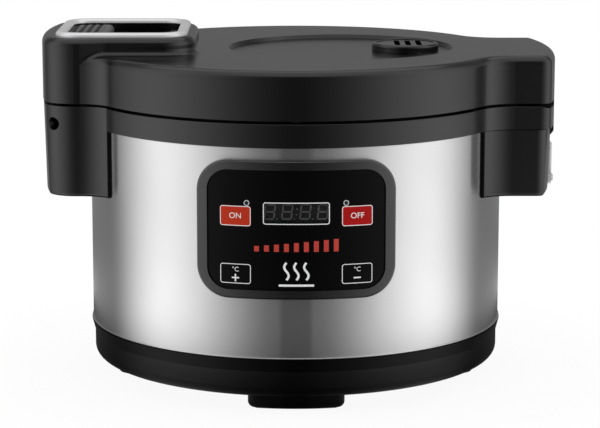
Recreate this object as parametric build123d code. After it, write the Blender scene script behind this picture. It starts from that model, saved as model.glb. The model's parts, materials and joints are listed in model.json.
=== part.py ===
from build123d import *
import math
import os

# Countertop rice warmer: steel drum, black base and rim band, hinged latching lid, digital panel.
# Millimetres. The drum axis is Z and the floor is Z = 0. The panel faces -Y, the latch ear -X and
# the hinge ear +X.

# Outer body
drum_radius = 200.0
drum_wall = 0.8
drum_height = 195.8
drum_hem_radius = 0.7
drum_seam = 0.8
base_height = 36.5
base_step = 1.4
base_taper_height = 11.5
base_taper = 3.0
base_round = 10.0
base_spigot = 7.0
base_floor_inset = 58.0
bottom_plate_lap = 8.0
bottom_plate_thickness = 1.2
foot_height = 17.0
foot_width = 90.0
foot_depth = 26.0
foot_face_inset = 22.0
foot_corner = 9.0
foot_round = 6.0
pad_inset = 7.5
pad_thickness = 3.0
pad_proud = 1.0
rim_height = 21.8
rim_spigot = 6.0
rim_edge_round = 1.0
shell_wall = 3.0
fit_gap = 0.3
pin_fit = 0.05
slot_count = 24
slot_length = 34.0
slot_width = 4.0
slot_inset = 37.0
screw_head_radius = 4.0
screw_head_height = 2.2
screw_radius = 1.9
screw_length = 8.0
base_screw_count = 6

# Ears, in plan
ear_half_width = 86.0
ear_bow = 336.0
ear_height = 64.3
ear_sector_margin = 2.0
ear_seam = 0.3
ear_draft = 2.0
ear_lip = 1.2
hinge_housing_inset = 3.0
hinge_housing_seam = 0.75
latch_overhang = 44.5
latch_flat = 3.5
hinge_overhang = 51.0
hinge_corner = 11.0
neck_radius = 38.0
ear_edge_round = 3.0
ear_screw_side = 3.2
ear_screw_rise = 4.7
ear_screw_bore = 6.2
ear_screw_seat = 8.0
ear_screw_boss = 9.0

# Lid
lid_gap = 2.7
lid_height = 44.6
lid_overhang = 3.0
lid_shoulder = 8.0
dish_margin = 94.0
dish_edge = 50.0
dish_depth = 3.5
dish_slope = 2.0
lid_base_thickness = 2.5
lid_screw_count = 6
lid_screw_inset = 11.0
lid_boss_radius = 4.5

# Handle block on the lid, its trim and its finger well
handle_shelf = 6.0
handle_proud = 0.5
handle_margin = 7.5
handle_flare_lead = 1.5
handle_flare = 27.0
handle_flare_round = 30.0
handle_rise = 16.6
handle_corner = 32.0
handle_round = 7.5
handle_cove = 6.0
trim_end_inset = 15.5
trim_length = 125.5
trim_half_width = 72.0
trim_corner = 27.0
trim_width = 10.0
trim_height = 4.0
trim_round = 3.4
well_depth = 46.0
grip_width = 10.0
grip_thickness = 5.0
grip_drop = 6.0
grip_rib_count = 3
grip_rib_radius = 1.2

# Latch button, hook and striker
button_length = 38.0
button_drop = 1.5
button_wall = 2.4
button_skirt = 15.0
button_edge_round = 5.0
button_rib_count = 4
button_rib_pitch = 7.4
button_rib_radius = 1.8
shelf_drop = 26.0
leg_spread = 9.0
leg_radius = 3.5
spring_spread = 36.0
spring_radius = 5.0
spring_wire = 0.7
spring_turns = 5
hook_axis_inset = 18.5
hook_axis_drop = 11.0
hook_pin_radius = 2.5
hook_boss_radius = 6.0
hook_half_width = 15.0
hook_arm = 6.0
hook_barb = 10.0
hook_barb_height = 8.0
hook_clearance = 0.5
cam_reach = 24.0
cam_height = 6.0
cam_overrun = 6.0
rib_thickness = 6.0
striker_radius = 3.0
striker_drop = 7.0
striker_inset = 32.0
striker_half_length = 26.0
striker_margin = 9.0
latch_slot_half_width = 19.0

# Hinge
hinge_axis_inset = 15.5
hinge_axis_drop = 25.8
hinge_pin_radius = 4.0
lug_half_width = 34.0
lug_slot_half_width = 14.0
lug_slot_radius = 9.0
lug_web = 12.0
cheek_depth = 20.0
cheek_radius = 7.5
lug_clearance = 1.5
rim_relief_start = 20.0
rim_relief = 5.4
torsion_wire = 1.1
torsion_turns = 7

# Dew cup
cup_half_width = 32.0
cup_depth = 26.0
cup_height = 39.0
cup_wall = 1.5
cup_corner = 4.0
cup_grip = 7.0
cup_grip_proud = 3.0
cup_inset = 2.5

# Steam vent
vent_inset = 46.3
vent_radius = 32.5
vent_rise = 7.5
vent_edge_round = 2.5
vent_top_wall = 2.6
vent_top_dish = 0.6
vent_top_rim = 4.0
vent_tube_radius = 16.0
vent_tube_wall = 2.5
vent_plug_wall = 2.0
vent_plug_depth = 12.0
vent_collar = 4.0
vent_slot_count = 3
vent_slot_pitch = 10.4
vent_slot_width = 5.4
vent_slot_length = 40.0
vent_slot_shift = 2.5

# Pot, inner lid, heating chamber and heaters
pot_room = 22.0
pot_wall = 2.0
pot_depth = 195.0
pot_corner = 28.0
pot_flange = 6.0
pot_flange_drop = 3.4
pot_side_gap = 1.2
gasket_width = 5.0
inner_lid_margin = 10.0
inner_lid_thickness = 1.2
inner_lid_drop = 6.0
inner_lid_hem = 3.0
inner_lid_seal_width = 5.0
knob_radius = 12.0
knob_height = 8.0
knob_stem_radius = 5.0
steam_hole_count = 6
steam_hole_radius = 2.5
steam_hole_circle = 8.0
liner_gap = 3.0
liner_wall = 1.0
liner_flange = 8.0
liner_corner = 12.0
heater_margin = 60.0
heater_height = 12.0
heater_post = 3.4
heater_post_radius = 6.0
heater_post_inset = 28.0
heater_post_count = 3
heater_bulge_inset = 40.0
heater_bulge_radius = 5.0
side_heater_thickness = 2.2
side_heater_height = 60.0
side_heater_rise = 30.0
insulation_gap = 1.2
insulation_margin = 4.0
fuse_radius = 1.4
fuse_half_length = 9.0
fuse_offset = 55.0
sensor_radius = 21.0
sensor_wall = 1.2
sensor_skirt = 9.0
sensor_stem_radius = 6.0
sensor_stem_length = 22.0
sensor_clearance = 1.5
sensor_holder_radius = 32.0
sensor_holder_thickness = 2.5
sensor_guide_wall = 2.5
sensor_guide_length = 8.0
sensor_spring_wire = 0.8
sensor_spring_turns = 5

# Control panel
bezel_drop = 11.0
bezel_width = 180.6
bezel_height = 127.0
bezel_corner = 29.0
bezel_rise = 6.5
bezel_edge_round = 2.0
panel_width = 161.6
panel_height = 109.6
panel_corner = 19.0
panel_rise = 5.0
panel_thickness = 2.2
panel_ledge = 1.2
panel_post_radius = 3.0
panel_post_x = 60.0
panel_post_drop = 16.8
panel_post_rise = 42.2
key_angle = 15.6
key_width = 29.0
key_height = 18.5
key_corner = 2.5
key_rise = 12.7
key_drop = 40.5
key_proud = 0.3
key_flange = 0.6
key_flange_thickness = 1.2
key_nub_radius = 2.5
key_nub_length = 0.9
display_width = 59.0
display_height = 19.0
display_corner = 1.5
display_rise = 15.7
module_width = 57.0
module_height = 16.0
module_depth = 10.0
lens_angle = 12.65
lens_gap = 1.05
lens_radius = 1.8
board_depth = 11.2
board_thickness = 1.6
board_width = 130.0
board_height = 100.0
switch_size = 6.0
switch_height = 2.4

# Power board and mains inlet
power_board_length = 110.0
power_board_width = 70.0
power_board_rise = 9.0
post_radius = 3.0
post_inset = 6.0
relay_size = 18.0
transformer_length = 44.0
transformer_width = 38.0
transformer_height = 18.0
part_spacing = 26.0
inlet_width = 44.0
inlet_height = 29.0
inlet_rise = 3.4
inlet_proud = 9.0
inlet_depth = 30.0
inlet_round = 2.0
socket_width = 25.0
socket_height = 17.0
socket_depth = 16.0
socket_corner = 3.0
blade_width = 4.0
blade_thickness = 2.0
blade_length = 11.0
blade_tail = 6.0
blade_pitch = 7.0
blade_offset = 2.0

# Heights and places worked out from the sizes above
base_z = foot_height
drum_z = base_z + base_height
rim_z = drum_z + drum_height
rim_top = rim_z + rim_height
lid_z = rim_top + lid_gap
lid_top = lid_z + lid_height
lid_radius = drum_radius + lid_overhang
lid_screw_circle = lid_radius - lid_screw_inset
latch_reach = drum_radius + latch_overhang
hinge_reach = drum_radius + hinge_overhang
neck_y = ear_half_width + neck_radius
neck_x = math.sqrt((lid_radius + neck_radius)**2 - neck_y**2)
neck_angle = math.degrees(math.atan2(neck_y, neck_x))
bow_slope = math.asin(ear_half_width / ear_bow)
bow_depth = ear_bow * (1 - math.cos(bow_slope))
latch_corner_length = latch_reach - bow_depth - neck_x - latch_flat
latch_corner = latch_corner_length / math.tan((math.pi / 2 - bow_slope) / 2)
handle_half_width = ear_half_width - handle_shelf
ear_sector = neck_angle - ear_sector_margin
ear_screw_angle = math.degrees(math.atan2(ear_half_width - ear_screw_side, latch_reach))
trim_outer_end = latch_reach - trim_end_inset
trim_inner_end = trim_outer_end - trim_length
handle_inner_end = trim_inner_end - handle_margin
dish_radius = lid_radius - dish_margin
dish_offset = lid_radius - dish_edge - dish_radius
vent_offset = dish_offset + dish_radius - vent_inset
base_floor_radius = drum_radius - base_floor_inset
foot_face_radius = drum_radius - foot_face_inset
slot_circle = base_floor_radius - slot_inset
pot_radius = drum_radius - pot_room
inner_lid_radius = pot_radius - inner_lid_margin
heater_radius = pot_radius - heater_margin
heater_post_circle = heater_radius - heater_post_inset
heater_bulge_circle = heater_radius - heater_bulge_inset
lid_base_top = lid_z + lid_base_thickness
dish_z = lid_top - dish_depth
handle_top = lid_top + handle_rise
shelf_z = handle_top - shelf_drop
well_z = handle_top - well_depth
ear_z = rim_z - ear_height
drum_inside = drum_radius - drum_wall
hook_x = hook_axis_inset - latch_reach
hook_z = shelf_z - hook_axis_drop
cam_x = hook_x + cam_reach
striker_x = striker_inset - latch_reach
striker_z = rim_top - striker_drop
hinge_x = hinge_reach - hinge_axis_inset
hinge_z = lid_z - hinge_axis_drop
lug_radius = hinge_axis_inset
button_x0 = trim_width - trim_outer_end
button_x1 = button_x0 + button_length
button_top = handle_top - button_drop
flange_top = rim_top - pot_flange_drop
ledge_z = flange_top - pot_wall
pot_z = flange_top - pot_depth
heater_z = pot_z - fit_gap - heater_height
liner_z = heater_z - heater_post - liner_wall
liner_radius = pot_radius + liner_gap
liner_outside = liner_radius + liner_wall
side_heater_outside = liner_outside + fit_gap + side_heater_thickness
inner_lid_z = lid_z - inner_lid_drop - inner_lid_thickness
panel_mid = rim_z - bezel_drop - bezel_height / 2
panel_post_low = panel_mid - panel_post_drop
panel_post_high = panel_mid + panel_post_rise
key_upper_mid = panel_mid + key_rise
key_lower_mid = panel_mid - key_drop
lens_mid = key_upper_mid + key_height / 2 + lens_gap + lens_radius
display_mid = panel_mid + display_rise
panel_radius = drum_radius + panel_rise
panel_back = panel_radius - panel_thickness
key_back = panel_back - fit_gap - key_flange_thickness
board_y = board_depth - drum_radius
cup_z = ear_z + shell_wall + fit_gap
inlet_z = base_z + inlet_rise
inlet_face = drum_radius + inlet_proud - base_taper
screw_hole = screw_radius + pin_fit
lug_side = lug_half_width + lug_clearance
pin_half_length = lug_side + cheek_depth - fit_gap
cup_end = hinge_reach - cup_inset
cup_x0 = cup_end - cup_depth
hook_slot_x0 = hook_x - 2 * hook_boss_radius
hook_slot_x1 = striker_x + striker_radius + fit_gap

BOTTOM = (Align.CENTER, Align.CENTER, Align.MIN)


def raised(plan, low, high):
    """Prism on a plan face between two heights."""
    return extrude(Pos(0, 0, low) * plan, high - low)


def turned(points):
    """Solid of revolution about the drum axis from (radius, height) points."""
    return revolve(make_face(Plane.XZ * Polyline(*points, close=True)), Axis.Z)


def tube(outer, inner, low, high):
    """Round tube on the drum axis."""
    return raised(Circle(outer) - Circle(inner), low, high)


def peg(radius, height):
    """Round peg that stands on Z = 0."""
    return Cylinder(radius, height, align=BOTTOM)


def bowl(radius, low, high, corner):
    """Solid of a round bowl with a rounded lower edge."""
    side = make_face(Plane.XZ * Polyline((0, low), (radius, low), (radius, high), (0, high), close=True))
    lower_edge = side.vertices().sort_by_distance((radius, 0, low))[0]
    return revolve(fillet(lower_edge, corner), Axis.Z)


def rod_y(radius, x, z, half_length):
    """Round rod along Y, centred on the XZ plane."""
    return Pos(x, 0, z) * Rot(90, 0, 0) * Cylinder(radius, 2 * half_length)


def block(x0, x1, half_y, z0, z1):
    """Box that is centred on the XZ plane."""
    return Pos((x0 + x1) / 2, 0, (z0 + z1) / 2) * Box(x1 - x0, 2 * half_y, z1 - z0)


def facing(angle, z):
    """Plane on the drum axis that looks out at an angle from the front, positive towards +X."""
    turn = math.radians(angle)
    across = (math.cos(turn), math.sin(turn), 0)
    return Plane((0, 0, z), x_dir=across, z_dir=(math.sin(turn), -math.cos(turn), 0))


def panel_piece(angle, z, width, height, corner, inner, outer):
    """Curved tile on the drum: a rounded rectangle pushed out between two radii."""
    tile = extrude(facing(angle, z) * RectangleRounded(width, height, corner), outer + shell_wall)
    return tile & tube(outer, inner, z - height, z + height)


def ear_plan(reach, corner):
    """Ear towards +X with a bowed end and two round corners."""
    strip = Rectangle(reach, 2 * ear_half_width, align=(Align.MIN, Align.CENTER))
    strip &= Pos(reach - ear_bow, 0) * Circle(ear_bow)
    return fillet(strip.vertices().sort_by(Axis.X)[-2:], corner)


def body_plan(radius, hinge_end):
    """Outline of a round middle with both ears and their round necks."""
    plan = Circle(radius) + ear_plan(hinge_end, hinge_corner)
    plan += Rot(0, 0, 180) * ear_plan(latch_reach, latch_corner)
    middle_x = math.sqrt((radius + neck_radius)**2 - neck_y**2)
    for side_x in (-1, 1):
        for side_y in (-1, 1):
            corner = (side_x * middle_x, side_y * neck_y)
            web = make_face(Polyline((0, 0), corner, (side_x * middle_x, 0), close=True))
            plan += web - Pos(*corner) * Circle(neck_radius)
    return plan


def ear_region(side, spread):
    """Wedge of plan about +X or -X that holds one ear."""
    reach = 2 * lid_radius
    rise = reach * math.tan(math.radians(spread))
    return make_face(Polyline((0, 0), (side * reach, -rise), (side * reach, rise), close=True))


def handle_plan():
    """Plan of the raised handle block: as wide as the latch ear at its end and narrower inboard."""
    reach = latch_reach + handle_proud
    wide = ear_half_width + handle_proud
    flare_x = neck_x - handle_flare_lead
    corners = [
        (handle_inner_end, handle_half_width, handle_corner),
        (flare_x - handle_flare, handle_half_width, handle_flare_round),
        (flare_x, wide, handle_flare_round),
        (reach, wide, latch_corner + handle_proud),
    ]
    side = [(x, y) for x, y, _ in corners]
    plan = make_face(Polyline(*side, *[(x, -y) for x, y in reversed(side)], close=True))
    plan &= Pos(reach - ear_bow, 0) * Circle(ear_bow)
    for x, y, corner in corners:
        for place in ((x, y), (x, -y)):
            plan = fillet(plan.vertices().sort_by_distance(place)[0], corner)
    return Rot(0, 0, 180) * plan


def trim_plan(inset):
    """Rounded rectangle of the handle trim, drawn in by an inset."""
    length = trim_outer_end - trim_inner_end - 2 * inset
    middle = (trim_outer_end + trim_inner_end) / 2
    return Pos(-middle, 0) * RectangleRounded(length, 2 * (trim_half_width - inset), trim_corner - inset)


def finger_plan(margin):
    """Part of the well that takes the fingers, inboard of the latch button."""
    cut = Pos(button_x1 + shell_wall - margin, 0) * Rectangle(
        drum_radius, drum_radius, align=(Align.MIN, Align.CENTER)
    )
    return trim_plan(trim_width - margin) & cut


def screw(length):
    """Pan-head screw that points up from its head, which hangs below Z = 0."""
    head = Pos(0, 0, -screw_head_height) * peg(screw_head_radius, screw_head_height)
    head = fillet(head.edges().sort_by(Axis.Z)[0], screw_head_height / 3)
    return head + peg(screw_radius, length)


def biarc(start, start_way, end, end_way):
    """Two tangent arcs between two points with given directions."""
    span = end - start
    ways = start_way + end_way
    spread = 2 * (1 - start_way.dot(end_way))
    lead = span.dot(ways)
    reach = (math.sqrt(lead**2 + spread * span.dot(span)) - lead) / spread
    first = start + start_way * reach
    last = end - end_way * reach
    middle = (first + last) * 0.5
    return [
        TangentArc(start, middle, tangent=start_way),
        TangentArc(middle, end, tangent=(last - first).normalized()),
    ]


def coil(radius, wire, height, turns):
    """Helical spring that stands on Z = 0, swept along half-turn biarcs."""
    pitch = (height - 2 * wire) / turns

    def point(half):
        turn = math.pi * half
        return Vector(radius * math.cos(turn), radius * math.sin(turn), wire + pitch * half / 2)

    def way(half):
        turn = math.pi * half
        return Vector(-radius * math.sin(turn), radius * math.cos(turn), pitch / (2 * math.pi)).normalized()

    path = []
    for quarter in range(4 * turns):
        start = quarter / 2
        path += biarc(point(start), way(start), point(start + 0.5), way(start + 0.5))
    print("coil gap", round(pitch - 2 * wire, 2))
    return sweep(Plane(point(0), z_dir=way(0)) * Circle(wire), path=Wire(path))


def circle_points(radius, count, offset):
    """Even places on a circle about the drum axis, the first at an offset in degrees."""
    turns = [math.radians(offset + 360 / count * step) for step in range(count)]
    return [Pos(radius * math.cos(turn), radius * math.sin(turn)) for turn in turns]


def base_screw_places():
    """Places of the bottom plate screws, in the middle of the lap."""
    return circle_points(base_floor_radius + bottom_plate_lap / 2, base_screw_count, 180 / base_screw_count)


def base_screw_holes():
    """Holes through the bottom plate and the base floor."""
    hole = Pos(0, 0, base_z - bottom_plate_thickness) * peg(screw_hole, screw_length)
    return [place * hole for place in base_screw_places()]


def base_shell():
    """Base tray: tapered skirt, rounded lower edge and a floor ring that carries the feet."""
    rim = drum_radius + base_step
    wall_radius = rim - base_taper
    side = make_face(Plane.XZ * Polyline(
        (0, base_z),
        (wall_radius, base_z),
        (wall_radius, drum_z - base_taper_height),
        (rim, drum_z),
        (0, drum_z),
        close=True,
    ))
    lower_edge = side.vertices().sort_by_distance((wall_radius, 0, base_z))[0]
    tray = revolve(fillet(lower_edge, base_round), Axis.Z)
    tray += raised(Circle(drum_inside - fit_gap), drum_z, drum_z + base_spigot)
    inside = wall_radius - shell_wall
    tray -= bowl(inside, base_z + shell_wall, drum_z + base_spigot, base_round - shell_wall)
    tray -= raised(Circle(base_floor_radius), base_z, base_z + shell_wall)
    tray -= inlet_block(fit_gap)
    return tray - base_screw_holes()


def bottom_plate():
    """Sheet cover under the base with a ring of cooling slots."""
    plan = Circle(base_floor_radius + bottom_plate_lap)
    slot = Pos(slot_circle, 0) * SlotOverall(slot_length, slot_width)
    plan -= [Rot(0, 0, 360 / slot_count * step) * slot for step in range(slot_count)]
    return raised(plan, base_z - bottom_plate_thickness, base_z) - base_screw_holes()


def base_screws():
    """Screws that hold the bottom plate to the base floor."""
    low = Pos(0, 0, base_z - bottom_plate_thickness)
    return [place * low * screw(screw_length) for place in base_screw_places()]


def foot_plan(inset):
    """Foot outline at the front, with its face on the foot circle."""
    back = foot_depth - inset - foot_face_radius
    strip = Pos(0, back) * Rectangle(foot_width - 2 * inset, foot_depth, align=(Align.CENTER, Align.MAX))
    plan = strip & Circle(foot_face_radius - inset)
    return fillet(plan.vertices(), foot_corner - inset)


def foot(turn):
    """Foot block with a rounded sole and a pocket for its pad."""
    body = raised(foot_plan(0), pad_proud, base_z)
    body = fillet(body.faces().sort_by(Axis.Z)[0].edges(), foot_round)
    return Rot(0, 0, turn) * (body - raised(foot_plan(pad_inset - pin_fit), 0, pad_thickness))


def foot_pads():
    """Soft pads let into the four feet."""
    return [Rot(0, 0, 90 * step) * raised(foot_plan(pad_inset), 0, pad_thickness) for step in range(4)]


def outer_drum():
    """Rolled steel drum with a hem at its lower edge and a window behind the panel."""
    low = drum_z + drum_seam
    sheet = tube(drum_radius, drum_inside, low, rim_z)
    hem = Torus(drum_radius + drum_hem_radius / 2, drum_hem_radius)
    sheet += Pos(0, 0, low + drum_hem_radius) * hem
    sheet -= raised(Circle(drum_inside), drum_z, drum_z + base_spigot)
    opening = Rectangle(panel_width - 2 * shell_wall, panel_height - 2 * shell_wall)
    return sheet - extrude(facing(0, panel_mid) * opening, lid_radius)


def ear_screw_planes():
    """Planes on the axes of the two latch ear screws, looking out of the ear."""
    return [facing(turn * ear_screw_angle - 90, rim_z + ear_screw_rise) for turn in (1, -1)]


def radial_rod(plane, radius, inner, outer):
    """Round rod along a plane's outward axis between two distances from the drum axis."""
    return extrude(plane.offset(inner) * Circle(radius), outer - inner)


def rim_ring():
    """Rim band with the pot ledge; it carries on over the hinge ear and holds the hinge pin."""
    spigot = drum_inside - fit_gap
    opening = pot_radius + pot_side_gap
    step = pot_radius + pot_flange + pot_side_gap
    ring = turned([
        (opening, ledge_z),
        (step, ledge_z),
        (step, rim_top),
        (lid_radius, rim_top),
        (lid_radius, rim_z),
        (spigot, rim_z),
        (spigot, rim_z - rim_spigot),
        (spigot - shell_wall, rim_z - rim_spigot),
        (spigot - shell_wall, ledge_z - shell_wall),
        (opening, ledge_z - shell_wall),
    ])
    hinge_side = outline & ear_region(1, neck_angle + ear_sector_margin)
    ring += raised(hinge_side - Circle(lid_radius - shell_wall), rim_z, rim_top)
    ring = fillet(ring.edges().filter_by_position(Axis.Z, rim_top, rim_top), rim_edge_round)
    ring -= raised(ear_region(-1, ear_sector) - Circle(drum_radius), rim_z, rim_top)
    for side in (-1, 1):
        cheek = rod_y(cheek_radius, hinge_x, hinge_z, cheek_depth / 2)
        cheek += block(hinge_x - cheek_radius, hinge_x + cheek_radius, cheek_depth / 2, hinge_z, rim_z)
        ring += Pos(0, side * (lug_side + cheek_depth / 2), 0) * cheek
    ring -= block(hinge_x - lug_radius - lug_clearance, hinge_reach, lug_side, rim_z, rim_top)
    relief = Plane.XZ * make_face(Polyline(
        (hinge_reach - rim_relief_start, rim_top),
        (hinge_reach + rim_relief_start, rim_top),
        (hinge_reach + rim_relief_start, rim_top - 2 * rim_relief),
        close=True,
    ))
    ring -= extrude(relief, ear_half_width, both=True)
    ring -= rod_y(hinge_pin_radius + pin_fit, hinge_x, hinge_z, pin_half_length + fit_gap)
    return ring - [radial_rod(plane, screw_hole, liner_radius, lid_radius) for plane in ear_screw_planes()]


def ear_solid(plan, side, reach, top):
    """Solid ear around the drum with a rounded lower edge and an end that is drawn in towards it."""
    body = raised(plan, ear_z, top)
    body = fillet(body.faces().sort_by(Axis.Z)[0].edges(), ear_edge_round)
    end = Cone(ear_bow - ear_draft, ear_bow - pin_fit, top - ear_z, align=BOTTOM)
    end = fillet(end.edges().sort_by(Axis.Z)[0], ear_edge_round)
    body &= Pos(side * (reach - ear_bow), 0, ear_z) * end
    body &= raised(ear_region(side, ear_sector - ear_seam), ear_z, top)
    return body - raised(Circle(drum_radius + fit_gap), ear_z, top)


def ear_hollow(plan, side, top):
    """Space inside an ear moulding."""
    inside = offset(plan, -shell_wall - ear_draft) & ear_region(side, ear_sector - 2 * ear_seam)
    return raised(inside, ear_z + shell_wall, top)


def latch_housing():
    """Latch ear of the body: slot for the hook, ribs for the striker and deep corner screw holes."""
    plan = body_plan(drum_radius + ear_lip, hinge_reach)
    solid = ear_solid(plan, -1, latch_reach, rim_top)
    shell = solid - ear_hollow(plan, -1, rim_top - shell_wall)
    for plane in ear_screw_planes():
        seat = drum_radius + ear_screw_seat
        shell += radial_rod(plane, ear_screw_boss, drum_radius, latch_reach) & solid
        shell -= radial_rod(plane, ear_screw_bore, seat, latch_reach + shell_wall)
        shell -= radial_rod(plane, screw_hole, drum_radius - shell_wall, seat)
    rib_low = striker_z - striker_margin
    rib = block(-latch_reach, striker_x + striker_margin, rib_thickness / 2, rib_low, rim_top)
    rib_y = striker_half_length - rib_thickness / 2 + fit_gap
    shell += [Pos(0, side * rib_y, 0) * rib & solid for side in (-1, 1)]
    shell -= rod_y(striker_radius + pin_fit, striker_x, striker_z, striker_half_length)
    return shell - block(hook_slot_x0, hook_slot_x1, latch_slot_half_width, rim_top - shell_wall, rim_top)


def latch_striker():
    """Steel bar that the hook catches."""
    return rod_y(striker_radius, striker_x, striker_z, striker_half_length)


def ear_screws():
    """Screws deep in the latch ear's corner holes, driven into the rim band."""
    seat = drum_radius + ear_screw_seat
    return [plane.offset(seat).location * Rot(180, 0, 0) * screw(ear_screw_seat + shell_wall)
            for plane in ear_screw_planes()]


def hinge_housing():
    """Hinge ear of the body: open at the end for the lid lug and for the dew cup in its pocket."""
    reach = hinge_reach - hinge_housing_inset
    plan = body_plan(drum_radius + ear_lip, reach)
    top = rim_z - hinge_housing_seam
    solid = ear_solid(plan, 1, reach, top)
    shell = solid - ear_hollow(plan, 1, top)
    half = cup_half_width + fit_gap
    shell -= block(hinge_x, hinge_reach, lug_side, hinge_z - lug_radius - lug_clearance, rim_z)
    cheek_x0 = hinge_x - cheek_radius - fit_gap
    cheek_low = hinge_z - cheek_radius - fit_gap
    shell -= block(cheek_x0, hinge_reach, pin_half_length + 2 * fit_gap, cheek_low, rim_z)
    shell -= block(hinge_x, hinge_reach + shell_wall, half, cup_z - fit_gap, rim_z)
    wall = block(cup_x0, cup_end, cup_wall / 2, ear_z, cup_z + cup_height)
    return shell + [(Pos(0, side * (half + cup_wall / 2), 0) * wall) & solid for side in (-1, 1)]


def dew_cup():
    """Translucent dew cup with an open top and a finger lip at its lower edge."""
    plan = Pos(cup_end - cup_depth / 2, 0) * RectangleRounded(cup_depth, 2 * cup_half_width, cup_corner)
    inside = offset(plan, -cup_wall)
    cup = raised(plan, cup_z, cup_z + cup_height) - raised(inside, cup_z + cup_wall, cup_z + cup_height)
    lip = block(cup_end - cup_wall, cup_end + cup_grip_proud, cup_half_width / 2, cup_z, cup_z + cup_grip)
    return cup + fillet(lip.edges().filter_by(Axis.Y).sort_by(Axis.X)[-2:], cup_grip_proud / 2)


def hinge_pin():
    """Steel hinge pin through the lid lug and both cheeks."""
    return rod_y(hinge_pin_radius, hinge_x, hinge_z, pin_half_length)


def hinge_spring():
    """Torsion spring round the pin in the slot of the lug."""
    half = lug_slot_half_width - fit_gap
    wound = coil(hinge_pin_radius + fit_gap + torsion_wire, torsion_wire, 2 * half, torsion_turns)
    return Pos(hinge_x, half, hinge_z) * Rot(90, 0, 0) * wound


def inner_pot():
    """Drawn pot with a flat flange that hangs on the rim ledge."""
    inner = pot_radius - pot_wall
    pot = bowl(pot_radius, pot_z, flange_top, pot_corner)
    pot += tube(pot_radius + pot_flange, inner, ledge_z, flange_top)
    return pot - bowl(inner, pot_z + pot_wall, flange_top, pot_corner - pot_wall)


def liner():
    """Heating chamber that hangs under the rim, with a hole for the sensor."""
    top = ledge_z - shell_wall - fit_gap
    floor = liner_z + liner_wall
    chamber = bowl(liner_outside, liner_z, top, liner_corner)
    chamber += tube(liner_outside + liner_flange, liner_radius, top - liner_wall, top)
    chamber -= bowl(liner_radius, floor, top, liner_corner - liner_wall)
    return chamber - raised(Circle(sensor_radius + sensor_clearance), liner_z, floor)


def heating_plate():
    """Cast heating plate on three posts, with a bulge for the buried element and a sensor hole."""
    plate = turned([
        (sensor_radius + sensor_clearance, heater_z + heater_height / 2),
        (heater_radius, heater_z + heater_height / 2),
        (heater_radius, heater_z + heater_height),
        (sensor_radius + sensor_clearance, heater_z + heater_height),
    ])
    plate += Pos(0, 0, heater_z + heater_bulge_radius) * Torus(heater_bulge_circle, heater_bulge_radius)
    post = Pos(0, 0, liner_z + liner_wall) * peg(heater_post_radius, heater_post + heater_height / 2)
    return plate + [place * post for place in circle_points(heater_post_circle, heater_post_count, 90)]


def side_heater():
    """Band heater round the chamber."""
    low = liner_z + side_heater_rise
    return tube(side_heater_outside, liner_outside + fit_gap, low, low + side_heater_height)


def insulation_sleeve():
    """Insulation between the chamber and the drum, open behind the panel."""
    inner = side_heater_outside + insulation_gap
    low = drum_z + base_spigot + insulation_margin
    high = rim_z - rim_spigot - insulation_margin
    sleeve = tube(drum_inside - fit_gap, inner, low, high)
    behind_panel = Rectangle(panel_width, 2 * (high - panel_mid) + shell_wall)
    return sleeve - extrude(facing(0, panel_mid) * behind_panel, drum_radius)


def thermal_fuse():
    """Thermal fuse in the space under the heating plate."""
    return rod_y(fuse_radius, fuse_offset, liner_z + liner_wall + fuse_radius + fit_gap, fuse_half_length)


def sensor_cap():
    """Spring-loaded sensor cap with its guide stem."""
    top = pot_z - fit_gap
    cap = raised(Circle(sensor_radius), top - sensor_skirt, top)
    cap = fillet(cap.edges().sort_by(Axis.Z)[-1], sensor_wall)
    cap -= raised(Circle(sensor_radius - sensor_wall), top - sensor_skirt, top - sensor_wall)
    return cap + raised(Circle(sensor_stem_radius), top - sensor_stem_length, top)


def sensor_holder():
    """Guide under the chamber floor for the sensor stem."""
    top = liner_z - fit_gap
    bore = sensor_stem_radius + fit_gap
    guide = raised(Circle(sensor_holder_radius), top - sensor_holder_thickness, top)
    guide += raised(Circle(bore + sensor_guide_wall), top - sensor_guide_length, top)
    return guide - raised(Circle(bore), top - sensor_guide_length, top)


def sensor_spring():
    """Compression spring under the sensor cap, round its stem."""
    low = liner_z
    high = pot_z - fit_gap - sensor_wall
    mean = sensor_stem_radius + fit_gap + sensor_spring_wire
    return Pos(0, 0, low) * coil(mean, sensor_spring_wire, high - low - fit_gap, sensor_spring_turns)


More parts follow.
